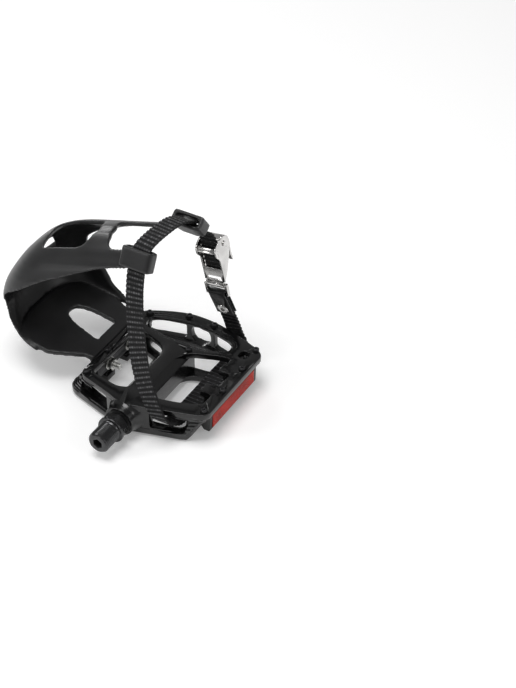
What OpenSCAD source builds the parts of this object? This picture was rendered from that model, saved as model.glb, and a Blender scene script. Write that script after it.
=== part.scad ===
// Platform bicycle pedal for the right-hand crank, with toe clip, strap and reflector.
// Frame: origin on the spindle axis at the face of the shoulder that seats on the crank,
// +X outward along the spindle, +Y toward the toe, +Z up. Millimetres.

/* [Platform body] */
// Height of the body from the lower tread face to the upper one
body_h = 22; // [18:1:28]
// Thickness of each tread plate
plate_t = 4; // [3:0.5:6]
// Reach of the upper plate ahead of the spindle axis, and of the lower one behind it
short_reach = 39; // [34:1:44]
// Reach of the upper plate behind the spindle axis, and of the lower one ahead of it
long_reach = 51; // [45:1:58]
// Distance from the shoulder to the outer wall's outer face
outer_x = 110; // [100:1:120]
// Thickness of the side walls
wall_t = 4; // [3:0.5:6]
// Half height of the windows in the side walls
window_half_z = 6; // [4:0.5:6.5]
// Radius of the access hole in the outer wall
access_r = 7.5; // [6:0.5:9]

/* [Spindle barrel] */
// Half width of the barrel across its flanks
barrel_half = 9.5; // [8.5:0.5:11]
// Half width of the barrel's flat on each tread face
barrel_flat = 5; // [3:0.5:7]
// Distance from the shoulder to the inner end of the boss
boss_in_x = 9.5; // [8:0.5:12]
// Radius of the boss
boss_r = 10; // [9:0.5:11]
// Distance from the shoulder to the outer end of the barrel
barrel_out_x = 83; // [75:1:90]
// Radius of the two bearing seats
seat_r = 6.5; // [6:0.25:7.5]
// Radius of the bore between the seats
waist_r = 5.9; // [5:0.1:6.2]

/* [Spindle] */
// Major radius of the 9/16 in thread
thread_r = 7.14; // [7.1:0.01:7.2]
// Length of the thread
thread_len = 13.8; // [12:0.1:16]
// Radius of the shoulder flange
flange_r = 9; // [8:0.25:10]
// Across-flats size of the spanner section
spanner_af = 15; // [14:0.5:17]
// Across-flats size of the hexagon socket in the thread's end
socket_af = 6; // [5:1:8]
// Radius of the inner journal
journal_r = 5; // [4.5:0.1:5.5]
// Radius of the outer journal
tip_r = 3; // [2.5:0.1:3.5]

/* [Toe clip] */
// Centre of the clip across the pedal
clip_x = 66.5; // [60:1:74]
// Wall thickness of the moulded clip
clip_t = 3.2; // [2.4:0.2:4]
// Height of the sole plate's underside
sole_z = 6; // [4:0.5:9]
// Distance of the strap loops from the clip's centre
loop_dx = 24.5; // [20:0.5:28]
// Height of the strap loops' centre
loop_z = 100; // [90:1:108]
// Spacing of the two clamp bolts
bolt_gap = 22.5; // [18:0.5:28]
// Radius of the clamp bolts
bolt_r = 2; // [1.5:0.25:3]

/* [Strap and buckle] */
// Width of the strap
strap_w = 12; // [11:0.5:15]
// Thickness of the strap
strap_t = 1.8; // [1.4:0.1:2.4]
// Inside width of the buckle frame
buckle_in_w = 13; // [13:0.2:17]
// Thickness of the buckle's sheet
buckle_t = 1; // [0.8:0.1:1.6]

/* [Studs and reflector] */
// Radius of the grip studs
stud_r = 2; // [1.5:0.1:2.5]
// Height of the grip studs above the tread
stud_h = 1.5; // [1:0.1:3]
// Length of the reflector housing
reflector_len = 56; // [45:1:60]

/* [Fits] */
// Running clearance of the journal in its bush
run_gap = 0.04; // [0.02:0.01:0.08]
// Clearance of bolts, studs and pins in their holes
pin_gap = 0.05; // [0.02:0.01:0.1]
// Gap between a soft piece and its neighbour
soft_gap = 0.3; // [0.2:0.1:0.5]

/* [Hidden] */
$fn = 48;
eps = 0.01;
h = body_h / 2;
in_z = h - plate_t;
bolt_z = 1;
bolt_x0 = 63.75 - bolt_gap / 2;
bolt_x1 = 63.75 + bolt_gap / 2;
wall_face_y = 41;
pad_y = 37.5;
reflector_x = 37.5;
pocket_x0 = reflector_x - soft_gap;
pocket_x1 = reflector_x + reflector_len + soft_gap;
clamp_y = 35.5;
flange_y = wall_face_y + clip_t;
bolt_end_y = 27;
washer_t = 0.8;
nut_h = 3.2;
nut_af = 7;
hex_corner = 2 / sqrt(3);
bush_len = 20;
bearing_x = 67;
bearing_w = 5;
pin_r = 1.1;

function unit(v) = v / norm(v);
function mix(a, b, s) = a + (b - a) * s;
// rounds each corner [x, y, r] of a closed outline with short chords
function rounded(p, n = 4) = [for (i = [0 : len(p) - 1])
  let (v = [p[i][0], p[i][1]], q = p[(i + len(p) - 1) % len(p)], w = p[(i + 1) % len(p)],
       a = [q[0], q[1]] - v, b = [w[0], w[1]] - v,
       d = min(p[i][2], norm(a) * 0.48, norm(b) * 0.48),
       s = v + unit(a) * d, e = v + unit(b) * d)
  if (p[i][2] == 0) v
  else each [for (k = [0 : n]) let (t = k / n) s * (1 - t) * (1 - t) + v * 2 * t * (1 - t) + e * t * t]];
// a smooth line through hand-placed points
function spline(p, n) = [for (i = [0 : len(p) - 2], k = [0 : (i == len(p) - 2 ? n : n - 1)])
  let (a = p[max(i - 1, 0)], b = p[i], c = p[i + 1], d = p[min(i + 2, len(p) - 1)], t = k / n)
  0.5 * (2 * b + (c - a) * t + (2 * a - 5 * b + 4 * c - d) * t * t
         + (3 * b - a - 3 * c + d) * t * t * t)];

// outline of the upper tread plate, counter-clockwise from its front inner corner
tread = [[25.5, short_reach, 5], [21, 22, 12], [15.3, 2, 3], [15.3, -4, 3], [20.5, -22, 12],
  [27.5, -46, 4], [31.5, -long_reach, 5], [97, -long_reach, 6], [101, -45, 6], [106, -30, 14],
  [outer_x + 1.2, -9, 10], [outer_x + 1.2, 9, 10], [107.5, 21, 12], [101.5, 33.5, 6],
  [98, short_reach, 4]];
front_hole = [[29.5, 5, 3], [26.8, 12, 5], [30.5, 33, 4], [80, 33, 5], [80, 25, 6], [75, 10, 6], [68, 5,
    8]];
rear_hole = [[31, -5, 3], [68, -5, 8], [76, -10, 6], [83, -28, 5], [84, -36, 2], [79.2, -36, 1], [79.2,
    -34.5, 0],
  [71, -34.5, 0], [71, -43, 2], [57, -43, 2], [57, -34.5, 0], [48.4, -34.5, 0], [48.4, -43, 2],
  [38, -43, 4], [32, -28, 6], [28.5, -12, 5]];
oval = [[87, 30.5, 5], [95.5, 32, 6], [100, 25, 10], [104, 8, 12], [104.2, -8, 12],
  [100.5, -25, 10], [95.5, -31, 5], [89, -29, 6], [84, -15, 14], [83.5, 10, 16]];
oval_step = [[84.6, 33, 7], [96.8, 34.8, 7], [102.6, 26, 10], [106.6, 9, 12], [106.8, -9, 12],
  [103, -26, 10], [96.8, -33.8, 7], [87, -31.6, 7], [81.6, -16, 14], [81.2, 10, 16]];
corner_hole = [[88, -37.5, 2], [88, -44, 2], [95, -44, 2], [95.5, -37.5, 3]];
studs = [[98, 33.7], [107.8, 9.5], [107.8, -9.5], [99.5, -45], [79, -46.8], [55, -47], [33, -47],
  [28.6, 35.8], [53, 36], [78, 36], [78.4, -8]];

module tread_plate() {
  difference() {
    translate([0, 0, in_z]) linear_extrude(plate_t) difference() {
      polygon(rounded(tread));
      polygon(rounded(front_hole));
      polygon(rounded(rear_hole));
      polygon(rounded(oval));
      polygon(rounded(corner_hole));
    }
    translate([0, 0, h - 0.9]) linear_extrude(1) polygon(rounded(oval_step));
  }
}

// front wall under the upper plate, stepping out to the lower plate's longer reach
module front_wall() {
  translate([30, 0, 0]) rotate([90, 0, 90]) linear_extrude(67) polygon([[37.7, in_z],
    [short_reach, in_z], [wall_face_y, 5], [wall_face_y, -4], [47, -in_z], [43.5, -in_z], [38, -4], [38,
        3]]);
  for (x = [bolt_x0, bolt_x1]) translate([x - 4, pad_y, -in_z]) cube([8, 2, 2 * in_z]);
}

// finned corner: slabs that step from the upper plate's corner to the lower plate's
module finned_corner(top, low, anchor) {
  fins = 9;
  for (k = [0 : fins - 1]) {
    s = (k + 0.5) / fins;
    keep = (k % 2 == 1) ? 0.9 : 1;
    translate([0, 0, in_z - (k + 1) * 2 * in_z / fins]) linear_extrude(2 * in_z / fins + eps / 10)
      polygon([for (i = [0 : len(top) - 1]) mix(anchor, mix(top[i], low[i], s), keep)]);
  }
}

module half_body() {
  tread_plate();
  front_wall();
  finned_corner([[21.3, 27], [23, 33], [25, 37.4], [28.6, short_reach], [36, short_reach], [36, 35.5],
      [28.6, 34.6]],
    [[23, 32], [26.5, 42], [29.5, 48.5], [34.5, long_reach], [44, long_reach], [42, 43.6], [30, 36.4]],
        [33, 37]);
  finned_corner([[90, short_reach], [97, short_reach], [100, 36.6], [103, 31], [102, 30.4], [97, 34.6],
      [90, 36]],
    [[84, long_reach], [94.5, long_reach], [98.6, 48.6], [101.4, 42], [104, 33], [98, 36.6], [88,
        43.6]], [94, 37]);
}

module side_walls() {
  linear_extrude(2 * in_z, center = true) {
    polygon([[27.4, 41], [20.5, 18], [16.6, 7], [16.6, -7], [20.5, -18], [27.4, -41], [31.4, -41],
      [24.7, -18], [21, -6], [21, 6], [24.7, 18], [31.4, 41]]);
    polygon([[99.4, 41], [105, 29], [109.2, 13], [outer_x, 8], [outer_x, -8], [109.2, -13], [105, -29],
      [99.4, -41], [95.4, -41], [101, -28], [105.2, -12], [outer_x - wall_t, -7], [outer_x - wall_t, 7],
      [105.2, 12], [101, 28], [95.4, 41]]);
  }
}

module pedal_body() color([0.09, 0.09, 0.1]) difference() {
  union() {
    half_body();
    rotate([180, 0, 0]) half_body();
    side_walls();
    // barrel with its flats level with the treads
    translate([17, 0, 0]) rotate([90, 0, 90]) linear_extrude(barrel_out_x - 17) polygon([
      [-barrel_flat, -h], [barrel_flat, -h], [barrel_half, -6], [barrel_half, 6], [barrel_flat, h],
      [-barrel_flat, h], [-barrel_half, 6], [-barrel_half, -6]]);
    // boss and its flare into the inner wall
    translate([boss_in_x, 0, 0]) rotate([0, 90, 0]) cylinder(r = boss_r, h = 10);
    translate([boss_in_x + 2.5, 0, 0]) rotate([0, 90, 0]) cylinder(r1 = boss_r - 0.5, r2 = 13.5, h = 8);
  }
  // stepped bore
  translate([boss_in_x - 1, 0, 0]) rotate([0, 90, 0]) cylinder(r = 8.2, h = 3.5);
  translate([boss_in_x, 0, 0]) rotate([0, 90, 0]) cylinder(r = seat_r, h = bush_len + 3);
  translate([boss_in_x, 0, 0]) rotate([0, 90, 0]) cylinder(r = waist_r, h = barrel_out_x);
  translate([bearing_x, 0, 0]) rotate([0, 90, 0]) cylinder(r = seat_r, h = barrel_out_x - bearing_x + 1);
  // trims the flare back to the tread faces
  for (m = [1, -1]) translate([0, -20, m > 0 ? h : -h - 10]) cube([20, 40, 10]);
  // windows in the inner wall
  for (m = [0, 180]) rotate([m, 0, 0]) {
    translate([10, 0, 0]) rotate([90, 0, 90]) linear_extrude(20) polygon(rounded([
      [15.5, -window_half_z, 2], [41, -window_half_z, 2], [37, window_half_z, 2], [15.5, window_half_z,
          2]]));
    // windows in the outer wall
    translate([97, 0, 0]) rotate([90, 0, 90]) linear_extrude(20) polygon(rounded([
      [10.5, -window_half_z, 2.5], [36, -window_half_z, 2.5], [34, window_half_z, 2.5], [10.5,
          window_half_z, 2.5]]));
    // bolt holes
    for (x = [bolt_x0, bolt_x1]) translate([x, 30, m == 0 ? bolt_z : -bolt_z]) rotate([-90, 0, 0])
      cylinder(r = bolt_r + pin_gap, h = 14);
  }
  // stud holes, also where the barrel lies under the tread
  for (m = [0, 180]) rotate([m, 0, 0]) for (s = studs) translate([s[0], s[1], h - 3.2])
      cylinder(r = stud_r + pin_gap, h = 4);
  // pockets that the reflector and the clip's flange seat in
  for (m = [0, 180]) rotate([m, 0, 0]) translate([pocket_x0, 0, 0]) rotate([90, 0, 90])
      linear_extrude(pocket_x1 - pocket_x0)
    polygon([[wall_face_y, -4], [47, -in_z], [60, -in_z], [60, h + 1], [wall_face_y, h + 1]]);
  // access hole opposite the barrel's end
  translate([100, 0, 0]) rotate([0, 90, 0]) cylinder(r = access_r, h = 15);
}

module stud() {
  translate([0, 0, h - 3]) difference() {
    union() {
      cylinder(r = stud_r, h = 3 + stud_h - 0.4);
      translate([0, 0, 3 + stud_h - 0.4]) cylinder(r1 = stud_r, r2 = stud_r - 0.4, h = 0.4, $fn = 24);
    }
    translate([0, 0, 3 + stud_h - 1]) cylinder(r = 0.9, h = 2, $fn = 6);
  }
}
module top_studs() color([0.12, 0.12, 0.13]) for (s = studs) translate([s[0], s[1], 0]) stud();
module bottom_studs() color([0.12, 0.12, 0.13]) rotate([180, 0, 0])
  for (s = studs) translate([s[0], s[1], 0]) stud();

module reflector_housing() color([0.05, 0.05, 0.05]) difference() {
  translate([reflector_x, 0, 0]) rotate([90, 0, 90]) linear_extrude(reflector_len) polygon(rounded([
    [-wall_face_y, 3.9, 0.6], [-wall_face_y, -4.8, 0.6], [-43.6, -8.6, 1], [-48, -8.8, 1.4], [-48.6,
        4.6, 1.2], [-44, 5.4, 1]]));
  translate([reflector_x + 3, -50, -6.8]) cube([reflector_len - 6, 3, 9.6]);
}
module reflector_lens() color([0.75, 0.08, 0.04]) translate([reflector_x + 3 + pin_gap, -48.9,
    -6.8 + pin_gap])
  cube([reflector_len - 6 - 2 * pin_gap, 1.9, 9.6 - 2 * pin_gap]);

// sections of the hood: height at the nose, half width, nose reach, start of the nose curve,
// rise toward the rear, share of the wall thickness taken downward
hood = spline([[14, 37, 101, 68, -0.14, 0], [19, 38.3, 105.5, 73, -0.12, 0], [25, 39, 108.5, 77, -0.08, 0],
  [32, 39, 110, 79, -0.03, 0], [40, 38.5, 110, 79, 0.03, 0], [48, 37, 108, 77, 0.12, 0.1],
  [56, 33.5, 103.5, 75, 0.26, 0.3], [63, 29, 98, 68, 0.31, 0.5], [68, 24, 92, 62, 0.3, 0.6],
  [71, 19, 87.5, 55, 0.31, 0.75], [74, 13.5, 82, 46, 0.295, 0.85], [76.5, 8, 77, 38, 0.285, 0.95], [78,
      3.5, 73, 34, 0.275, 1]], 2);
arc_n = 28;
leg_y = 4;
sharp = 0.76;
function hood_point(l, t, x, y) = [clip_x + x, y, l[0] - t * l[5] + l[4] * (100 - y)];
function hood_row(l, t) = let (i = t * (1 - 0.55 * l[5]), w = l[1] - i, n = l[2] - i) concat(
  [for (k = [0 : 2]) hood_point(l, t, -w, mix(leg_y, l[3], k / 3))],
  [for (k = [0 : arc_n]) let (a = 180 * k / arc_n, c = -cos(a))
    hood_point(l, t, sign(c) * pow(abs(c), sharp) * w, l[3] + pow(sin(a), sharp) * (n - l[3]))],
  [for (k = [2 : -1 : 0]) hood_point(l, t, w, mix(leg_y, l[3], k / 3))]);
module hood_shell() {
  n = arc_n + 7;
  m = len(hood);
  b = m * n;
  skin = [for (i = [0 : m - 2], j = [0 : n - 2]) let (p = i * n + j) each [[p, p + 1, p + n], [p + 1,
      p + n + 1, p + n]]];
  lining = [for (f = skin) [f[0] + b, f[2] + b, f[1] + b]];
  rims = [for (j = [0 : n - 2], o = [0, (m - 1) * n]) each o == 0 ? [[j, b + j, j + 1], [j + 1, b + j,
      b + j + 1]]
    : [[o + j, o + j + 1, b + o + j], [o + j + 1, b + o + j + 1, b + o + j]]];
  ends = [for (i = [0 : m - 2], e = [0, n - 1]) let (p = i * n + e) each e == 0 ? [[p, p + n, b + p],
      [p + n, b + p + n, b + p]]
    : [[p, b + p, p + n], [p + n, b + p, b + p + n]]];
  polyhedron(points = concat([for (l = hood) each hood_row(l, 0)], [for (l = hood) each hood_row(l,
      clip_t)]),
    faces = concat(skin, lining, rims, ends));
}
// prism along X through the points [y, z, corner radius]
module side_cut(x0, x1, p) translate([x0, 0, 0]) rotate([90, 0, 90]) linear_extrude(x1 - x0)
    polygon(rounded(p));
arm_edge = [[86, 53, 10], [69, 65, 14], [51, 74.5, 14], [34, 84, 14], [16, 91, 8], [-20, 102, 0]];
sole_tilt = 8;
// strap loops: side, centre [x, y, z], lean
loops = [[-1, clip_x - loop_dx, 1.5, loop_z + 2, 28], [1, clip_x + loop_dx, -3.5, loop_z - 0.5, 36]];
module at_loop(l) translate([l[1], l[2], l[3]]) rotate([0, -l[0] * l[4], 0]) mirror([l[0] > 0 ? 1 : 0,
    0, 0]) children();
module toe_clip() color([0.16, 0.16, 0.17]) difference() {
  union() {
    difference() {
      hood_shell();
      // the side by the crank is open between the sole's rim and the arm
      side_cut(-10, clip_x, concat([[-20, -10, 0], [66, -10, 0], [74, 12.5, 4], [84, 14.5, 6], [94,
          17.5, 8], [101, 22.5, 6],
        [105.5, 29, 4], [104, 36.5, 6], [98, 45, 6]], arm_edge));
      // the outer side is walled ahead of the ball of the foot
      side_cut(clip_x, 130, concat([[-20, -10, 0], [49, -10, 0], [54, 10.5, 3], [66, 18, 8], [71, 27,
          8], [77, 36, 5], [83.5, 43, 4],
        [82, 53, 5]], [for (k = [1 : len(arm_edge) - 1]) arm_edge[k]]));
      // opening over the toe, and the gap between the arms, on each side of a cross web
      translate([clip_x, 0, 62]) linear_extrude(60) {
        polygon(rounded([[-16.5, 80, 6], [-15.5, 49.5, 5], [0, 46.5, 12], [14.5, 51.5, 4], [14.5, 83, 9]]));
        polygon(rounded([[-15.5, -20, 0], [14.5, -20, 0], [14.5, 40, 5], [0, 36, 12], [-15.5, 30.5, 7]]));
      }
      // small window ahead of the outer wall
      translate([85.5, 102.5, 49.5]) rotate([0, 0, -60]) rotate([-39, 0, 0]) rotate([-90, 0, 0])
          translate([0, 0, -7]) linear_extrude(14)
        polygon(rounded([[-5.5, 4.5, 1], [6, 4.5, 1], [3, -7, 1.5]]));
    }
    // sole plate
    translate([0, wall_face_y, sole_z]) rotate([sole_tilt, 0, 0]) translate([0, -wall_face_y, 0])
        linear_extrude(clip_t) difference() {
      polygon(concat([[90, wall_face_y], [44, wall_face_y], [42.5, 48], [33.5, 63]],
          [for (p = hood_row(hood[0], clip_t / 2)) if (p[1] > 62) [p[0], p[1]]],
        [[99.4, 60], [96.4, 50]]));
      polygon(rounded([[59.5, 49, 1], [80, 49, 1], [81, 66, 8], [78, 78, 8], [69, 79, 8], [64, 70, 8]]));
    }
    // flange that the bolts clamp to the body's front wall
    translate([43.6, wall_face_y, -4]) cube([41, clip_t, sole_z + 4 + clip_t]);
    // crown that closes the cross web over the hood's open ridge
    intersection() {
      side_cut(clip_x - 5.5, clip_x + 5.5, [[20, 99.6, 0], [60, 88.6, 0], [60, 85.4, 0], [20, 96.4, 0]]);
      translate([clip_x, 0, 62]) linear_extrude(60) polygon([[-6, 33.6], [0, 36.2], [6, 36.6], [6,
          48.4], [0, 47], [-6, 47.6]]);
    }
    for (l = loops) at_loop(l) linear_extrude(12.5, center = true)
      polygon(rounded([[-5, -10.6, 2], [-5, 10.6, 2], [3.2, 10.6, 2], [4.6, 7, 3], [4.6, -7, 3], [3.2,
          -10.6, 2]]));
  }
  for (x = [bolt_x0, bolt_x1]) translate([x, 35, bolt_z]) rotate([-90, 0, 0])
      cylinder(r = bolt_r + pin_gap, h = 20);
  for (l = loops) at_loop(l) translate([-2.6, -8, -20]) cube([5, 16, 40]);
}

module clamp_plate() color([0.25, 0.25, 0.27]) difference() {
  translate([39.6, clamp_y, bolt_z - 4.5]) cube([45, pad_y - clamp_y, 9.5]);
  for (x = [bolt_x0, bolt_x1]) translate([x, 30, bolt_z]) rotate([-90, 0, 0])
      cylinder(r = bolt_r + pin_gap, h = 8);
}
module along_bolts() for (x = [bolt_x0, bolt_x1]) translate([x, 0, bolt_z]) rotate([-90, 0, 0]) children();
module clip_bolts() color([0.8, 0.8, 0.82]) along_bolts() difference() {
  union() {
    translate([0, 0, bolt_end_y]) cylinder(r = bolt_r, h = flange_y - bolt_end_y);
    translate([0, 0, flange_y]) cylinder(r1 = 4, r2 = 3.3, h = 2.4);
  }
  translate([0, 0, flange_y + 1]) cylinder(r = 1.7, h = 3, $fn = 6);
}
module clip_washers() color([0.78, 0.78, 0.8]) along_bolts() translate([0, 0, clamp_y - washer_t])
    difference() {
  cylinder(r = 4.4, h = washer_t);
  translate([0, 0, -1]) cylinder(r = bolt_r + pin_gap, h = 3);
}
module clip_nuts() color([0.8, 0.8, 0.82]) along_bolts() translate([0, 0, clamp_y - washer_t - nut_h])
    difference() {
  cylinder(r = nut_af / 2 * hex_corner, h = nut_h, $fn = 6);
  translate([0, 0, -1]) cylinder(r = bolt_r + pin_gap / 2, h = 6);
}

// buckle frame of reference: its own Z runs up along the strap, its X faces outward
buckle_at = [106.6, -10.7, 63.4];
lean_y = -4;
lean_x = -9;
tab_lean_y = -17.3;
function lean(ly, x, z) = x * [cos(ly), 0, -sin(ly)] + z * [cos(lean_x) * sin(ly), -sin(lean_x),
    cos(lean_x) * cos(ly)];
function on_strap(x, z) = buckle_at + lean(lean_y, x, z);
module on_buckle() translate(buckle_at) rotate([0, lean_y, 0]) rotate([lean_x, 0, 0]) children();
web_x = -0.8;
end_x = -2.9;
ring_top_z = -15.5;
ring_low_z = -22;
wire_r = 1;
// the tab hangs from the ring's lower bar
tab_at = on_strap(end_x, ring_low_z);
function on_tab(z) = tab_at + lean(tab_lean_y, 0, z);
// route of the strap: tab, outer side, under the tread, inner side, loops, buckle
strap_y = -27;
strap_z = -4.4;
route = [on_tab(-2.4), on_tab(-9), on_tab(-17), [113.4, -18.8, 14], [113.9, -21.2, 5.5], [112.2, -25.4,
    -1.6],
  [106.5, strap_y, strap_z], [80, strap_y, strap_z], [50, strap_y, strap_z], [32, strap_y, strap_z + 1],
      [25, -26.8, 0],
  [19.8, -25.7, 3.8], [17.2, -24.2, 8.4], [16.2, -22.3, 14], [16.2, -18.6, 24], [19.6, -11.8, 38],
      [26.6, -5, 54.6], [33.4, 0, 75],
  [37.6, 1.5, 90], [loops[0][1], 1.5, loops[0][3]], [46.6, 1.2, 107.4], [54, 0.4, 109.6], [66, -0.6,
      110], [77, -1.6, 109],
  [86, -2.8, 105], [loops[1][1], -3.6, loops[1][3]], [96, -5, 92.8], [100.4, -6.2, 89.2], [103.2, -7,
      85.6], on_strap(web_x, 17.5),
  on_strap(web_x, 12), on_strap(web_x, 4), on_strap(web_x, -7)];
function side_of(t) = unit([0, 1, 0] - t[1] * t);
module ribbon(p, w, th) {
  n = len(p);
  tan = [for (i = [0 : n - 1]) unit(p[min(i + 1, n - 1)] - p[max(i - 1, 0)])];
  pts = [for (i = [0 : n - 1]) let (s = side_of(tan[i]), u = cross(tan[i], s))
    each [p[i] - s * w / 2 - u * th / 2, p[i] + s * w / 2 - u * th / 2, p[i] + s * w / 2 + u * th / 2,
        p[i] - s * w / 2 + u * th / 2]];
  polyhedron(points = pts, faces = concat([[0, 1, 2, 3]], [[4 * n - 1, 4 * n - 2, 4 * n - 3, 4 * n - 4]],
    [for (i = [0 : n - 2], k = [0 : 3]) let (a = 4 * i + k, b = 4 * i + (k + 1) % 4) each [[a, a + 4,
        b], [b, a + 4, b + 4]]]));
}
rivet_z = -14;
rivet_r = 2.2;
module at_tab() translate(tab_at) rotate([0, tab_lean_y, 0]) rotate([lean_x, 0, 0]) children();
module at_rivet() at_tab() translate([0, 0, rivet_z]) rotate([0, 90, 0]) children();
module strap() color([0.07, 0.07, 0.08]) difference() {
  ribbon(spline(route, 3), strap_w, strap_t);
  at_rivet() cylinder(r = rivet_r + pin_gap, h = 10, center = true);
}

base_x = -2.2;
pin_x = 4.2;
pin_z = 12.5;
module at_lever() on_buckle() translate([pin_x, 0, pin_z]) rotate([90, 0, 0]) children();
bar_x = -3.9;
bar_z = 11;
bar_r = 1.9;
module at_bar() on_buckle() translate([bar_x, 0, bar_z]) rotate([90, 0, 0]) children();
module buckle_frame() color([0.75, 0.75, 0.77]) difference() {
  union() {
    on_buckle() {
      translate([base_x - buckle_t, -buckle_in_w / 2 - buckle_t, -12.6]) cube([buckle_t,
          buckle_in_w + 2 * buckle_t, 9.6]);
      translate([base_x - buckle_t, -6.1, ring_top_z]) cube([buckle_t, 12.2, 4]);
      for (m = [-1, 1]) translate([0, m > 0 ? buckle_in_w / 2 : -buckle_in_w / 2 - buckle_t, 0])
        rotate([90, 0, 0]) mirror([0, 0, 1]) linear_extrude(buckle_t)
          polygon(rounded([[base_x - buckle_t, -12, 1], [base_x - buckle_t, 5, 3], [bar_x - 2.4, 8, 2],
              [bar_x - 2.4, 14, 2],
            [0, 17.5, 3], [6, 18, 3], [9, 13, 3], [8, 4, 4], [0.5, -9, 4]]));
    }
    // lower edge rolled round the ring's wire
    at_ring(ring_top_z) cylinder(r = wire_r + 0.8, h = 12.2, center = true);
  }
  on_buckle() translate([-6, -5, -11.6]) cube([6, 10, 2.6]);
  at_ring(ring_top_z) cylinder(r = wire_r + pin_gap, h = 20, center = true);
  at_lever() cylinder(r = pin_r + pin_gap, h = 40, center = true);
  at_bar() cylinder(r = 1, h = 40, center = true);
}
// serrated bar fixed across the frame's foot side
module buckle_bar() color([0.72, 0.72, 0.74]) at_bar() union() {
  linear_extrude(buckle_in_w, center = true) polygon([for (k = [0 : 35]) let (a = k * 10,
      r = bar_r - (k % 2) * 0.3) [r * cos(a), r * sin(a)]]);
  cylinder(r = 1, h = buckle_in_w + 2 * buckle_t, center = true);
}
module buckle_pin() color([0.7, 0.7, 0.72]) at_lever() {
  cylinder(r = pin_r, h = buckle_in_w + 2 * buckle_t + 1.6, center = true);
  for (m = [0, 180]) rotate([m, 0, 0]) translate([0, 0, buckle_in_w / 2 + buckle_t])
      cylinder(r = pin_r + 0.6, h = 0.8);
}
// serrated cam and thumb lever in one piece
cam_r = 3.3;
module buckle_lever() color([0.78, 0.78, 0.8]) at_lever() difference() {
  linear_extrude(buckle_in_w - 2 * soft_gap, center = true) polygon(rounded(concat(
    [for (k = [11 : 33]) let (a = k * 10, r = (a > 110 && a < 260)
        ? (k % 2 == 0 ? cam_r + 0.3 : cam_r - 0.1) : cam_r - 0.6)
      [r * cos(a), r * sin(a), 0]],
    [[4.2, 0.9, 1], [6.2, -3.4, 3], [5.4, -11.4, 5], [6.6, -17.5, 0.6], [7.9, -17.2, 0.6], [6.8, -11,
        5], [7.7, -3, 3], [6.4, 1.8, 3],
      [3.6, 3.7, 2], [-0.9, 3.2, 0.4]])));
  cylinder(r = pin_r + pin_gap, h = 40, center = true);
}
ring_half = 7.4;
module at_ring(z) on_buckle() translate([end_x, 0, z]) rotate([90, 0, 0]) children();
module buckle_ring() color([0.45, 0.45, 0.47]) union() {
  for (z = [ring_top_z, ring_low_z]) at_ring(z) cylinder(r = wire_r, h = 2 * ring_half, center = true);
  on_buckle() for (y = [-ring_half, ring_half])
    translate([end_x - wire_r - 0.15, y - 0.9, ring_low_z - wire_r - 0.15]) cube([2 * wire_r + 0.3, 1.8,
        ring_top_z - ring_low_z + 2 * wire_r + 0.3]);
}

// vinyl tab folded through the ring and riveted over the strap's end
module strap_tab() color([0.06, 0.06, 0.06]) difference() {
  at_tab() rotate([90, 0, 0]) linear_extrude(strap_w + 0.4, center = true) difference() {
    polygon(rounded([[-2.2, -18.8, 0.5], [2.2, -18.8, 0.5], [2.4, 2.6, 2], [-2.4, 2.6, 2]]));
    polygon(rounded([[-1.2, -20, 0], [1.2, -20, 0], [1.5, 1.7, 0.6], [-1.5, 1.7, 0.6]]));
  }
  at_rivet() cylinder(r = rivet_r + pin_gap, h = 10, center = true);
}
module tab_rivet() color([0.8, 0.8, 0.82]) at_rivet() difference() {
  union() {
    cylinder(r = rivet_r, h = 4.8, center = true);
    for (m = [0, 180]) rotate([m, 0, 0]) translate([0, 0, 2.29]) cylinder(r1 = 4, r2 = 3.4, h = 0.8);
  }
  cylinder(r = 1.3, h = 12, center = true);
}

module spindle() color([0.1, 0.1, 0.11]) difference() {
  union() {
    rotate([0, 90, 0]) rotate_extrude() polygon([[0, -thread_len], [thread_r - 1.2, -thread_len],
        [thread_r, -thread_len + 1.2],
      [thread_r, 0], [flange_r - 0.3, 0], [flange_r, 0.4], [flange_r, 2], [flange_r - 0.4, 2.4],
      [7.2, 2.6], [7.2, 7.6], [7, 8], [6, 9], [6, 13.6], [journal_r, 14], [journal_r, 36],
      [4.4, 38], [4, 62], [4, bearing_x], [tip_r, bearing_x], [tip_r, 79.5], [tip_r - 0.4, 80], [0, 80]]);
    translate([2.4, 0, 0]) rotate([0, 90, 0]) rotate([0, 0, 15])
        cylinder(r = spanner_af / 2 * hex_corner, h = 5.2, $fn = 6);
  }
  translate([-thread_len - 1, 0, 0]) rotate([0, 90, 0]) cylinder(r = socket_af / 2 * hex_corner, h = 7,
      $fn = 6);
}
module ring_on_axis(x, w, ro, ri) translate([x, 0, 0]) rotate([0, 90, 0]) difference() {
  cylinder(r = ro, h = w);
  translate([0, 0, -1]) cylinder(r = ri, h = w + 2);
}
module spindle_seal() color([0.05, 0.05, 0.05]) ring_on_axis(boss_in_x + 0.2, 2.2, 8.2, 6 + run_gap);
module inner_bush() color([0.6, 0.5, 0.3]) ring_on_axis(14.3, bush_len - 2, seat_r, journal_r + run_gap);
race_in = 3.9;
race_out = 5.6;
ball_r = 1.2;
module bearing_outer_race() color([0.7, 0.7, 0.72]) translate([bearing_x, 0, 0]) rotate([0, 90, 0])
    rotate_extrude()
  difference() {
    translate([race_out, 0]) square([seat_r - race_out, bearing_w]);
    translate([4.75, bearing_w / 2]) circle(r = ball_r + run_gap);
  }
module bearing_inner_race() color([0.7, 0.7, 0.72]) translate([bearing_x, 0, 0]) rotate([0, 90, 0])
    rotate_extrude()
  difference() {
    translate([tip_r + 0.02, 0]) square([race_in - tip_r - 0.02, bearing_w]);
    translate([4.75, bearing_w / 2]) circle(r = ball_r + run_gap);
  }
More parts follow.
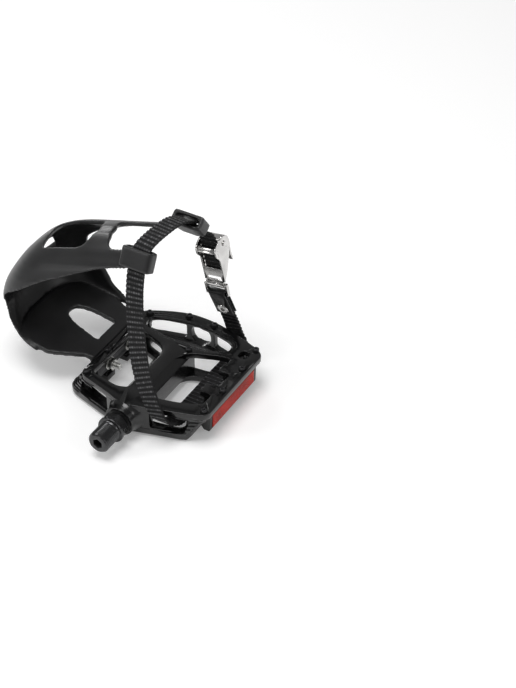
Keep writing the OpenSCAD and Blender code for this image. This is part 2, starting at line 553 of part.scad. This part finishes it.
module bearing_balls() color([0.8, 0.8, 0.82]) for (k = [0 : 6]) translate([bearing_x + bearing_w / 2,
    0, 0])
  rotate([k * 360 / 7, 0, 0]) translate([0, 4.75, 0]) sphere(r = ball_r, $fn = 32);
module lock_washer() color([0.7, 0.7, 0.72]) ring_on_axis(bearing_x + bearing_w, 0.8, 5, tip_r + pin_gap);
module locknut() color([0.7, 0.7, 0.72]) translate([bearing_x + bearing_w + 0.8, 0, 0]) rotate([0, 90,
    0]) difference() {
  cylinder(r = 5 * hex_corner, h = 5, $fn = 6);
  translate([0, 0, -1]) cylinder(r = tip_r + pin_gap / 2, h = 8);
}
module dust_cap() color([0.08, 0.08, 0.08]) translate([80.8, 0, 0]) rotate([0, 90, 0]) difference() {
  cylinder(r = seat_r, h = barrel_out_x - 80.8 + 0.6);
  translate([0, 0, 1.6]) cylinder(r = 3.5, h = 3, $fn = 6);
}

pedal_body();
top_studs();
bottom_studs();
reflector_housing();
reflector_lens();
toe_clip();
clamp_plate();
clip_bolts();
clip_washers();
clip_nuts();
strap();
strap_tab();
tab_rivet();
buckle_frame();
buckle_lever();
buckle_bar();
buckle_pin();
buckle_ring();
spindle();
spindle_seal();
inner_bush();
bearing_outer_race();
bearing_inner_race();
bearing_balls();
lock_washer();
locknut();
dust_cap();
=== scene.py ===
# %% [markdown]
# # A platform pedal with its toe clip
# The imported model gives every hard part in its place: the cast platform, the spindle, the clip, the
# strap and its buckle. This lesson finishes them. It rounds the hard edges, cuts the screw threads,
# weaves the strap, gives each surface its material, and lights the pedal on a pale floor.
#
# Blender counts in metres here, and so do the camera and the lamps. The sizes of pieces are written
# in millimetres, as a maker gives them, and are multiplied by MM where they reach a mesh.

# %% Load the frame
import math

import bpy
import numpy as np
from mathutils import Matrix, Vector


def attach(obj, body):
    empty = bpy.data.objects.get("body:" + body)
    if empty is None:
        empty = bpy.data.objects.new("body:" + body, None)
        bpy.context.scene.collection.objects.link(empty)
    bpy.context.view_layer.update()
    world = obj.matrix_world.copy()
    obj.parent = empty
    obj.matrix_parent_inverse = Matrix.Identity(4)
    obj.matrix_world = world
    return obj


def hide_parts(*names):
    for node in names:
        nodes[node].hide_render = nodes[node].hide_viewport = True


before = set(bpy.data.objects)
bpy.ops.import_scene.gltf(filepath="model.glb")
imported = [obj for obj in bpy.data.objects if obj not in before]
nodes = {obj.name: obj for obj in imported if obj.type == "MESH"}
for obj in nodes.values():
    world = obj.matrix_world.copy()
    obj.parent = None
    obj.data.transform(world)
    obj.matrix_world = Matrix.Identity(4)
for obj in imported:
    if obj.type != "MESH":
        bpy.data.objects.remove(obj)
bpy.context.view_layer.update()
scene = bpy.context.scene
MM = 0.001

# %% [markdown]
# ## The camera
# The pedal is seen from the crank's side and from above. A long lens, far away, keeps its edges
# nearly parallel, as in a product picture. A camera could be placed by hand, but an azimuth, an
# elevation and a distance from a target say the same in numbers that are easy to change one by one.

# %% Camera
LENS_MM, SENSOR_MM = 94.2, 36
AZIMUTH, ELEVATION, DISTANCE = math.radians(-59.97), math.radians(39.263), 1.15915
TARGET = Vector((0.117023, -0.036251, 0))

camera = bpy.data.objects.new("camera", bpy.data.cameras.new("camera"))
scene.collection.objects.link(camera)
scene.camera = camera
camera.data.sensor_width, camera.data.lens = SENSOR_MM, LENS_MM
camera.data.clip_start, camera.data.clip_end = 0.05, 20
level = math.cos(ELEVATION)
back = Vector((math.sin(AZIMUTH) * level, -math.cos(AZIMUTH) * level, math.sin(ELEVATION)))
camera.location = TARGET + back * DISTANCE
camera.rotation_mode = "QUATERNION"
camera.rotation_quaternion = (-back).to_track_quat("-Z", "Y")
print("camera", [round(v, 3) for v in camera.location])

# %% [markdown]
# ## Materials
# No real surface is one flat colour. Cast metal is speckled under its coat, moulded nylon has a
# fine grain, and handling leaves some spots glossier than others. Painted pictures could show that,
# but two noises do it without any picture: a broad one moves the colour and the roughness a little,
# and a fine one drives a bump. Both read Object coordinates, so they need no unwrapping.

# %% A noise that sits still on its piece
BROAD_SCALE = 60


def noise_on(tree, where, scale, detail):
    noise = tree.nodes.new("ShaderNodeTexNoise")
    noise.inputs["Scale"].default_value = scale
    noise.inputs["Detail"].default_value = detail
    tree.links.new(where.outputs["Object"], noise.inputs["Vector"])
    return noise.outputs["Fac"]


print("broad noise, periods per metre", BROAD_SCALE)


# %% A shader with its relief
def material(name, colour, rough, metal=0.0, grain=2000, relief=0.1, depth_mm=0.05,
             vary=0.15, spread=0.08, shine=0.5):
    made = bpy.data.materials.new(name)
    made.use_nodes = True
    tree = made.node_tree
    join = tree.links.new
    shader = tree.nodes["Principled BSDF"]
    shader.inputs["Metallic"].default_value = metal
    shader.inputs["Specular IOR Level"].default_value = shine
    where = tree.nodes.new("ShaderNodeTexCoord")
    fine = noise_on(tree, where, grain, 3)
    broad = noise_on(tree, where, BROAD_SCALE, 4)

    tint = tree.nodes.new("ShaderNodeValToRGB")
    for stop, share, place in zip(tint.color_ramp.elements, (1 - vary, 1 + vary), (0.35, 0.65)):
        stop.color = [min(1, part * share) for part in colour] + [1]
        stop.position = place
    join(broad, tint.inputs["Fac"])
    join(tint.outputs["Color"], shader.inputs["Base Color"])

    gloss = tree.nodes.new("ShaderNodeMapRange")
    gloss.inputs["To Min"].default_value = max(0.02, rough - spread)
    gloss.inputs["To Max"].default_value = rough + spread
    join(broad, gloss.inputs["Value"])
    join(gloss.outputs["Result"], shader.inputs["Roughness"])

    bump = tree.nodes.new("ShaderNodeBump")
    bump.inputs["Strength"].default_value = relief
    bump.inputs["Distance"].default_value = depth_mm * MM
    join(fine, bump.inputs["Height"])
    join(bump.outputs["Normal"], shader.inputs["Normal"])
    return made


print("a material starts from colour, roughness, metal and grain")

# %% [markdown]
# ## Black finishes
# Six of the pedal's finishes are black, and they are told apart by their gloss and grain alone. The
# cast body has a hard, glossy coat. The clip's nylon is a shade paler and satin. Vinyl shines in
# patches, and rubber hardly shines at all.

# %% Cast, moulded and rubber blacks
BLACKS = {
    "body_black": dict(colour=(0.005, 0.005, 0.0053), rough=0.2, grain=1500, relief=0.3,
                       depth_mm=0.1, shine=0.55),
    "housing_black": dict(colour=(0.014, 0.014, 0.014), rough=0.5, grain=1600, relief=0.6,
                          depth_mm=0.1),
    "clip_nylon": dict(colour=(0.012, 0.012, 0.0125), rough=0.38, grain=2500, relief=0.25,
                       depth_mm=0.08, shine=0.45),
    "dark_steel": dict(colour=(0.03, 0.03, 0.032), rough=0.35, metal=0.6, grain=1800),
    "vinyl": dict(colour=(0.006, 0.006, 0.006), rough=0.32, grain=900, relief=0.3,
                  depth_mm=0.1, shine=0.4),
    "seal_rubber": dict(colour=(0.01, 0.01, 0.01), rough=0.6),
}
mats = {name: material(name, **look) for name, look in BLACKS.items()}
print("black finishes", sorted(mats))

# %% [markdown]
# ## Metals
# Zinc plate is soft and a little cloudy, and chrome is smooth and mirrors the studio. The spindle
# is blackened steel: a dark metal with low roughness, so that its turned rings still gleam.

# %% Plated, blackened and bearing metals
METALS = {
    "zinc": dict(colour=(0.66, 0.66, 0.64), rough=0.26, metal=1, grain=900, relief=0.2),
    "chrome": dict(colour=(0.66, 0.65, 0.64), rough=0.17, metal=1, grain=500, relief=0.05),
    "black_oxide": dict(colour=(0.06, 0.06, 0.062), rough=0.18, metal=0.75, grain=1500,
                        relief=0.15),
    "bronze": dict(colour=(0.5, 0.33, 0.14), rough=0.35, metal=1),
    "bearing_steel": dict(colour=(0.6, 0.6, 0.6), rough=0.2, metal=1),
}
mats.update({name: material(name, **look) for name, look in METALS.items()})
print("materials so far", len(mats))

# %% [markdown]
# ## Edges that catch the light
# A real edge is never perfectly sharp: a casting has a small radius and a stamping a tumbled one,
# and both catch a thin line of light. The edges could be rounded in the solids, but a narrow Bevel
# modifier is lighter and easy to change. The model's meshes are loose triangles, so a Weld comes
# first, and only edges that turn by more than BEVEL_ANGLE are bevelled, which leaves round walls
# alone. The clip's bolts are shaded here as well, because the threaded copy made of them later
# keeps that shading.

# %% The finish and the edge width of each node, in millimetres
FINISH = {
    "pedal_body": ("body_black", 0.28), "top_studs": ("dark_steel", 0.12),
    "bottom_studs": ("dark_steel", 0.12), "reflector_housing": ("housing_black", 0.2),
    "clamp_plate": ("dark_steel", 0.2), "clip_washers": ("zinc", 0.1), "clip_nuts": ("zinc", 0.15),
    "clip_bolts": ("zinc", 0.1), "strap_tab": ("vinyl", 0.3), "tab_rivet": ("chrome", 0.15),
    "buckle_frame": ("chrome", 0.15), "buckle_lever": ("chrome", 0.15),
    "buckle_bar": ("chrome", 0.05), "buckle_pin": ("chrome", 0.1),
    "buckle_ring": ("chrome", 0.15), "spindle_seal": ("seal_rubber", 0.1),
    "inner_bush": ("bronze", 0.1), "bearing_outer_race": ("bearing_steel", 0.1),
    "bearing_inner_race": ("bearing_steel", 0.1), "bearing_balls": ("bearing_steel", 0),
    "lock_washer": ("zinc", 0.1), "locknut": ("zinc", 0.15), "dust_cap": ("housing_black", 0.15),
}
print("nodes to finish as they are", len(FINISH))

# %% Paint and soften a piece
WELD_MM = 0.01
BEVEL_ANGLE, SHADE_ANGLE = math.radians(32), math.radians(35)


def select_only(obj):
    bpy.ops.object.select_all(action="DESELECT")
    obj.select_set(True)
    bpy.context.view_layer.objects.active = obj


def paint(obj, slot):
    obj.data.materials.clear()
    obj.data.materials.append(mats[slot])


def soften(obj, width_mm):
    weld = obj.modifiers.new("weld", "WELD")
    weld.merge_threshold = WELD_MM * MM
    if width_mm:
        bevel = obj.modifiers.new("bevel", "BEVEL")
        bevel.limit_method, bevel.angle_limit = "ANGLE", BEVEL_ANGLE
        bevel.width, bevel.segments = width_mm * MM, 2
        bevel.use_clamp_overlap = False
    select_only(obj)
    bpy.ops.object.shade_smooth_by_angle(angle=SHADE_ANGLE)


for name, (slot, width_mm) in FINISH.items():
    paint(nodes[name], slot)
    soften(nodes[name], width_mm)
print("finished nodes", len(FINISH))

# %% [markdown]
# ## Pieces that take a node's place
# Some pieces need more than a bevel. They start as a copy of their node, with the loose triangles
# merged so that operators and Booleans see one closed surface. A finished piece is painted, shaded
# and put on the body that it moves with, and its node is hidden.


# %% Copy, apply and hand in
def copy_of(name, new_name):
    obj = bpy.data.objects.new(new_name, nodes[name].data.copy())
    scene.collection.objects.link(obj)
    select_only(obj)
    bpy.ops.object.mode_set(mode="EDIT")
    bpy.ops.mesh.select_all(action="SELECT")
    bpy.ops.mesh.remove_doubles(threshold=WELD_MM * MM)
    bpy.ops.object.mode_set(mode="OBJECT")
    return obj


def apply_all(obj):
    select_only(obj)
    for modifier in list(obj.modifiers):
        bpy.ops.object.modifier_apply(modifier=modifier.name)


def hand_in(obj, slot, node, body="platform", angle=40):
    paint(obj, slot)
    select_only(obj)
    bpy.ops.object.shade_smooth_by_angle(angle=math.radians(angle))
    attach(obj, body)
    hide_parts(node)
    print(obj.name, len(obj.data.polygons), "faces")


# %% [markdown]
# ## The moulded clip
# The clip is one nylon moulding: a sole, a scoop for the toe, two arms and the strap's loops, with
# no sharp edge anywhere. A Bevel fails where its thin walls run together, so the copy is remeshed
# in small cells instead and then smoothed, which rounds its rims and blends its walls.

# %% Clip moulding
CELL_MM, SMOOTH_PASSES = 0.85, 7

clip = copy_of("toe_clip", "clip_moulding")
remesh = clip.modifiers.new("remesh", "REMESH")
remesh.mode, remesh.voxel_size = "VOXEL", CELL_MM * MM
smooth = clip.modifiers.new("smooth", "SMOOTH")
smooth.factor, smooth.iterations = 0.5, SMOOTH_PASSES
apply_all(clip)
hand_in(clip, "clip_nylon", "toe_clip", angle=180)

# %% [markdown]
# ## Screw threads
# A thread is a groove that runs round a shaft. Stacked rings would look alike from afar, but a true
# thread shows where it runs out at its ends. Three points give the groove's section. A Screw modifier
# turns them while it moves them along the axis, which makes a solid in the shape of the groove, and
# a Boolean takes that away from the shaft.

# %% The groove as a solid
STEPS_PER_TURN = 40


def groove(radius, depth, pitch, turns, start, turn=0.0):
    bpy.ops.object.select_all(action="DESELECT")
    bpy.ops.mesh.primitive_circle_add(vertices=3, radius=1)
    tool = bpy.context.object
    half, outside = 0.49 * pitch, radius + 0.25 * depth
    section = [(-half, outside), (half, outside), (0, radius - depth)]
    for vertex, (along_axis, out) in zip(tool.data.vertices, section):
        vertex.co = (along_axis * MM, 0, out * MM)
    screw = tool.modifiers.new("screw", "SCREW")
    screw.axis, screw.angle, screw.screw_offset = "X", math.tau, pitch * MM
    screw.iterations = turns
    screw.steps = screw.render_steps = STEPS_PER_TURN
    screw.use_merge_vertices = False
    apply_all(tool)
    bpy.ops.object.mode_set(mode="EDIT")
    bpy.ops.mesh.select_all(action="SELECT")
    bpy.ops.mesh.fill_holes(sides=4)
    bpy.ops.mesh.select_all(action="SELECT")
    bpy.ops.mesh.normals_make_consistent(inside=False)
    bpy.ops.object.mode_set(mode="OBJECT")
    tool.rotation_euler = (0, 0, turn)
    tool.location = Vector(start) * MM
    bpy.ops.object.transform_apply(location=True, rotation=True, scale=True)
    return tool


print("steps in one turn of a thread", STEPS_PER_TURN)


# %% Cutting the groove
def cut(obj, tool):
    away = obj.modifiers.new("away", "BOOLEAN")
    away.operation, away.solver, away.object = "DIFFERENCE", "EXACT", tool
    before = len(obj.data.polygons)
    apply_all(obj)
    bpy.data.objects.remove(tool)
    print("cut", obj.name, before, "to", len(obj.data.polygons), "faces")


print("grooves are cut with the exact solver")

# %% [markdown]
# ### The spindle's thread
# The spindle screws into the crank with twenty turns to the inch. Its edges are softened before the
# cut, because a Bevel after it would also round the thread's sharp crests.

# %% Spindle
SPINDLE_R, SPINDLE_PITCH = 7.14, 25.4 / 20

spindle = copy_of("spindle", "threaded_spindle")
soften(spindle, 0.22)
apply_all(spindle)
cut(spindle, groove(SPINDLE_R, 0.95, SPINDLE_PITCH, turns=11, start=(-14.6, 0, 0)))
hand_in(spindle, "black_oxide", "spindle", body="axle", angle=30)

# %% [markdown]
# ### The clip's bolts
# Two small zinc bolts hold the clip to the platform's front wall. Their shanks point along Y, so
# the groove is turned a quarter round before it is cut.

# %% Bolts
BOLT_R, BOLT_PITCH, BOLT_X = 2, 0.7, (52.5, 75)

bolts = copy_of("clip_bolts", "threaded_bolts")
for x in BOLT_X:
    cut(bolts, groove(BOLT_R, 0.4, BOLT_PITCH, turns=12, start=(x, 26.6, 1), turn=math.pi / 2))
hand_in(bolts, "zinc", "clip_bolts", angle=30)

# %% [markdown]
# ## The strap's line
# The strap is one length of webbing. It leaves the tab, drops past the platform's outer side, runs
# under the rear tread, climbs past the inner side, and goes over both loops to the buckle. Its
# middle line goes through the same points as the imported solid. Straight runs between them would
# show as kinks, so a smooth curve joins them, and its length is measured along the way.

# %% Points on the strap
POINTS = [
    (105.93, -14.52, 39.26), (107.87, -15.55, 33.04), (110.22, -16.8, 25.49), (113.4, -18.8, 14),
    (113.9, -21.2, 5.5), (112.2, -25.4, -1.6), (106.5, -27, -4.4), (80, -27, -4.4), (50, -27, -4.4),
    (32, -27, -3.4), (25, -26.8, 0), (19.8, -25.7, 3.8), (17.2, -24.2, 8.4), (16.2, -22.3, 14),
    (16.2, -18.6, 24), (19.6, -11.8, 38), (26.6, -5, 54.6), (33.4, 0, 75), (37.6, 1.5, 90),
    (42, 1.5, 102), (46.6, 1.2, 107.4), (54, 0.4, 109.6), (66, -0.6, 110), (77, -1.6, 109),
    (86, -2.8, 105), (91, -3.6, 99.5), (96, -5, 92.8), (100.4, -6.2, 89.2), (103.2, -7, 85.6),
    (104.6, -7.96, 80.59), (104.98, -8.82, 75.17), (105.53, -10.07, 67.29), (106.28, -11.8, 56.45),
]
print("points on the strap", len(POINTS))

# %% A smooth line through the points
STEPS_PER_SPAN = 24


def smooth_line(points, steps):
    p = np.array(points, float)
    last = len(p) - 1
    out = []
    for i in range(last):
        a, b, c, d = p[max(i - 1, 0)], p[i], p[i + 1], p[min(i + 2, last)]
        for t in np.arange(steps) / steps:
            slope, bend, twist = c - a, 2 * a - 5 * b + 4 * c - d, 3 * b - a - 3 * c + d
            out.append(0.5 * (2 * b + slope * t + bend * t * t + twist * t**3))
    return np.array(out + [p[-1]])


line = smooth_line(POINTS, STEPS_PER_SPAN)
run = np.concatenate([[0], np.cumsum(np.linalg.norm(np.diff(line, axis=0), axis=1))])
length = run[-1]
print("strap length, mm", round(length, 1))

# %% [markdown]
# ## The webbing
# Real webbing is woven from a few thick strands, and its cross ribs are what the eye counts. A
# picture of a weave would stay flat at the strap's edge, so the ribs are real shape here. A flat
# grid has four columns for each strand and ten rows for each rib, just enough to carry them.

# %% A flat grid for the strap
WIDTH, THICK, RIB = 11.6, 1.25, 3.1
STRANDS = 7
columns, rows = 4 * STRANDS, int(length / RIB * 10)

bpy.ops.object.select_all(action="DESELECT")
bpy.ops.mesh.primitive_grid_add(x_subdivisions=columns, y_subdivisions=rows, size=1)
webbing = bpy.context.object
webbing.name = "strap_webbing"
grid = np.array([v.co for v in webbing.data.vertices])
across, along = grid[:, 0], (grid[:, 1] + 0.5) * length
print("webbing rows", rows, "columns", columns)

# %% [markdown]
# The grid is laid along the line. Each row needs its middle, the direction that the strap runs in,
# the direction of its width, and the way that its face looks. The width stays as near to Y as it
# can, because the strap hardly twists on the pedal.


# %% Middle, side and face of each row
def at_rows(values):
    return np.stack([np.interp(along, run, values[:, k]) for k in range(3)], 1)


def unit(vectors):
    return vectors / np.linalg.norm(vectors, axis=1)[:, None]


middle = at_rows(line)
tangent = unit(at_rows(np.gradient(line, run, axis=0)))
side = unit(np.array([0, 1, 0]) - tangent[:, 1:2] * tangent)
face = np.cross(tangent, side)
print("the strap's lowest row is at z, mm", round(middle[:, 2].min(), 1))

# %% [markdown]
# Two waves shape the weave. A long one lifts the ribs and makes the strap a little wider on them. A
# short one lifts the yarns, and changes sides from strand to strand as over and under do.

# %% Ribs and yarns
RIB_LIFT, YARN_LIFT, RIB_WIDENS = 0.24, 0.07, 0.022

strand_at = (across + 0.5) * STRANDS
strand = np.floor(strand_at - 1e-6).astype(int)
crown = np.abs(np.sin(np.pi * strand_at))
phase = 2 * np.pi * along / RIB
rib = np.sin(phase)
yarn = crown**0.5 * np.cos(2 * phase + np.pi * (strand % 2))
lift = RIB_LIFT * rib + YARN_LIFT * yarn
wide = WIDTH * (1 + RIB_WIDENS * rib)
woven = middle + side * (across * wide)[:, None] + face * lift[:, None]
webbing.data.vertices.foreach_set("co", (woven * MM).astype(np.float32).ravel())
print("ribs", round(length / RIB))

# %% [markdown]
# Small grey flecks are painted on top of the ribs as highlights, where light catches the yarns, some
# strong and some faint. Each strand of each rib draws its own share, and a number on every point of
# the mesh, stored as a point attribute, carries it to the material. Then a Solidify modifier gives
# the sheet its thickness.

# %% Painted highlights and thickness
share = np.random.default_rng(7).random((int(length / RIB) + 2, STRANDS + 1))
# painted highlight: a grey glint on the tops of the ribs, stronger on some strands than on others
painted_glint = np.clip(3 * rib - 1.9, 0, 1) * (crown > 0.4)
painted_glint *= 0.25 + 0.75 * share[(along / RIB).astype(int), strand.clip(0, STRANDS)]
numbers = webbing.data.attributes.new("painted_glint", "FLOAT", "POINT")
numbers.data.foreach_set("value", painted_glint.astype(np.float32))
thick = webbing.modifiers.new("thick", "SOLIDIFY")
thick.thickness, thick.offset, thick.use_even_offset = THICK * MM, 0, False
apply_all(webbing)
print("points with a fleck", int((painted_glint > 0).sum()))

# %% [markdown]
# The yarn itself is nearly black and matt. The material mixes a grey into it by the mesh's number for
# the painted highlights, so they follow the weave exactly. A trace of sheen stands for the loose
# fibres.

# %% Webbing material
mats["webbing"] = material("webbing", (0.006, 0.006, 0.0065), 0.6, grain=3500, relief=0.8,
                           depth_mm=0.2, vary=0.3, shine=0.2)
tree = mats["webbing"].node_tree
shader = tree.nodes["Principled BSDF"]
shader.inputs["Sheen Weight"].default_value = 0.04
shader.inputs["Sheen Roughness"].default_value = 0.4
glint_attribute = tree.nodes.new("ShaderNodeAttribute")
glint_attribute.attribute_name = "painted_glint"
glint_mix = tree.nodes.new("ShaderNodeMix")
glint_mix.data_type = "RGBA"
# the grey of the painted highlights on the rib tops
glint_mix.inputs["B"].default_value = (0.16, 0.16, 0.165, 1)
tree.links.new(glint_attribute.outputs["Fac"], glint_mix.inputs["Factor"])
tree.links.new(shader.inputs["Base Color"].links[0].from_socket, glint_mix.inputs["A"])
tree.links.new(glint_mix.outputs["Result"], shader.inputs["Base Color"])
hand_in(webbing, "webbing", "strap", angle=60)

# %% [markdown]
# ## The reflector's lens
# A reflector throws light back with a field of small prisms. Each cell of a grid is poked into a
# low pyramid, and the rim of the field is extruded back and closed, which makes a solid block of
# plastic. A bump could fake the prisms, but true facets also break up the light where the lens is
# seen at a slant.

# %% Lens prisms
LENS_LONG, LENS_TALL, LENS_DEEP = 49.9, 9.5, 1.6
LENS_AT = Vector((65.5, -48.65, -2)) * MM
PRISM_HIGH = 0.22

bpy.ops.object.select_all(action="DESELECT")
bpy.ops.mesh.primitive_grid_add(x_subdivisions=33, y_subdivisions=6, size=1,
                                rotation=(math.pi / 2, 0, 0))
lens = bpy.context.object
lens.name = "lens_prisms"
lens.scale = (LENS_LONG * MM, LENS_TALL * MM, 1)
lens.location = LENS_AT
bpy.ops.object.transform_apply(location=True, rotation=True, scale=True)
bpy.ops.object.mode_set(mode="EDIT")
bpy.ops.mesh.select_all(action="SELECT")
bpy.ops.mesh.poke(offset=PRISM_HIGH * MM)
bpy.ops.mesh.select_all(action="SELECT")
bpy.ops.mesh.region_to_loop()
bpy.ops.mesh.extrude_edges_move(TRANSFORM_OT_translate={"value": (0, LENS_DEEP * MM, 0)})
bpy.ops.mesh.edge_face_add()
bpy.ops.mesh.select_all(action="SELECT")
bpy.ops.mesh.normals_make_consistent(inside=False)
bpy.ops.object.mode_set(mode="OBJECT")
print("lens faces", len(lens.data.polygons))

# %% [markdown]
# Clear red plastic sends some of the light back out of its depth. True transmission would need a
# mirror behind the prisms. So the colour is a deep red, and a faint painted glow, emitted by the lens
# itself, stands in for the light that comes back.

# %% Lens material
mats["lens_red"] = material("lens_red", (0.36, 0.009, 0.003), 0.16, grain=700, relief=0.1,
                            vary=0.35, spread=0.04, shine=0.2)
red = mats["lens_red"].node_tree.nodes["Principled BSDF"]
# painted glow: the lens emits a little red light, though it is no lamp
red.inputs["Emission Color"].default_value = (0.8, 0.06, 0.02, 1)
red.inputs["Emission Strength"].default_value = 0.04
hand_in(lens, "lens_red", "reflector_lens", angle=5)

# %% [markdown]
# ## The floor
# The pedal stands on its lower studs, on a wide, matt and nearly white sheet. It is a plain plane,
# much larger than the pedal, so its far edge stays out of the camera's picture.

# %% Floor
FLOOR_WIDE, FLOOR_Z = 12, -12.6 * MM

bpy.ops.object.select_all(action="DESELECT")
bpy.ops.mesh.primitive_plane_add(size=FLOOR_WIDE, location=(0.06, 0, FLOOR_Z))
floor = bpy.context.object
floor.name = "floor"
pale = bpy.data.materials.new("pale_floor")
pale.use_nodes = True
tree = pale.node_tree
shader = tree.nodes["Principled BSDF"]
shader.inputs["Base Color"].default_value = (0.9, 0.9, 0.9, 1)
shader.inputs["Roughness"].default_value = 0.9
shader.inputs["Specular IOR Level"].default_value = 0.1
floor.data.materials.append(pale)
print("floor at z, mm", round(FLOOR_Z / MM, 1))

# %% [markdown]
# A floor that is lit at a plain level renders as a light grey. More light would also wash out the
# pedal. So the floor glows a little instead, but only for rays that come from the camera, or from a
# mirror or through clear plastic. Its shadows stay, and the pedal gets no light from the glow.

# %% The floor as the camera sees it
FLOOR_GLOW = 0.21

shader.inputs["Emission Color"].default_value = (1, 1, 1, 1)
rays = tree.nodes.new("ShaderNodeLightPath")
seen = rays.outputs["Is Camera Ray"]
for kind in ("Is Glossy Ray", "Is Transmission Ray"):
    either = tree.nodes.new("ShaderNodeMath")
    either.operation, either.use_clamp = "ADD", True
    tree.links.new(seen, either.inputs[0])
    tree.links.new(rays.outputs[kind], either.inputs[1])
    seen = either.outputs[0]
glow = tree.nodes.new("ShaderNodeMath")
glow.operation = "MULTIPLY"
glow.inputs[1].default_value = FLOOR_GLOW
tree.links.new(seen, glow.inputs[0])
tree.links.new(glow.outputs[0], shader.inputs["Emission Strength"])
print("floor nodes", len(tree.nodes))

# %% [markdown]
# ## The lamps
# Broad lamps overhead and at both sides give soft shadows. The side that the top faces mirror
# toward the camera stays dim, so black stays black, and a small lamp behind draws a line along the
# far edges. Every lamp points at the middle of the pedal.

# %% Lamps
PEDAL_MIDDLE = Vector((0.06, 0, 0.03))
LAMPS = {  # place in metres, width in metres, power in watts
    "overhead": ((-0.1, 0.1, 1.3), 0.8, 10),
    "left": ((-0.9, 0.9, 0.8), 0.5, 4.5),
    "right": ((0.1, -1.4, 0.8), 0.6, 3),
    "edge": ((0.9, 1.1, 0.55), 0.25, 3),
}

for name, (place, width, power) in LAMPS.items():
    light = bpy.data.lights.new(name, "AREA")
    light.shape, light.size, light.energy = "DISK", width, power
    lamp = bpy.data.objects.new(name, light)
    scene.collection.objects.link(lamp)
    lamp.location = place
    lamp.rotation_mode = "QUATERNION"
    lamp.rotation_quaternion = (Vector(place) - PEDAL_MIDDLE).to_track_quat("Z", "Y")
print("lamps", len(LAMPS))

# %% [markdown]
# The world is a dim white room that fills the shadows. The Standard view keeps each colour close to
# the way it is written, so the blacks above can be judged by their numbers.

# %% World and view
world = bpy.data.worlds.new("studio")
scene.world = world
world.use_nodes = True
sky = world.node_tree.nodes["Background"]
sky.inputs["Color"].default_value = (1, 1, 1, 1)
sky.inputs["Strength"].default_value = 0.28
scene.view_settings.view_transform = "Standard"
print("view", scene.view_settings.view_transform)
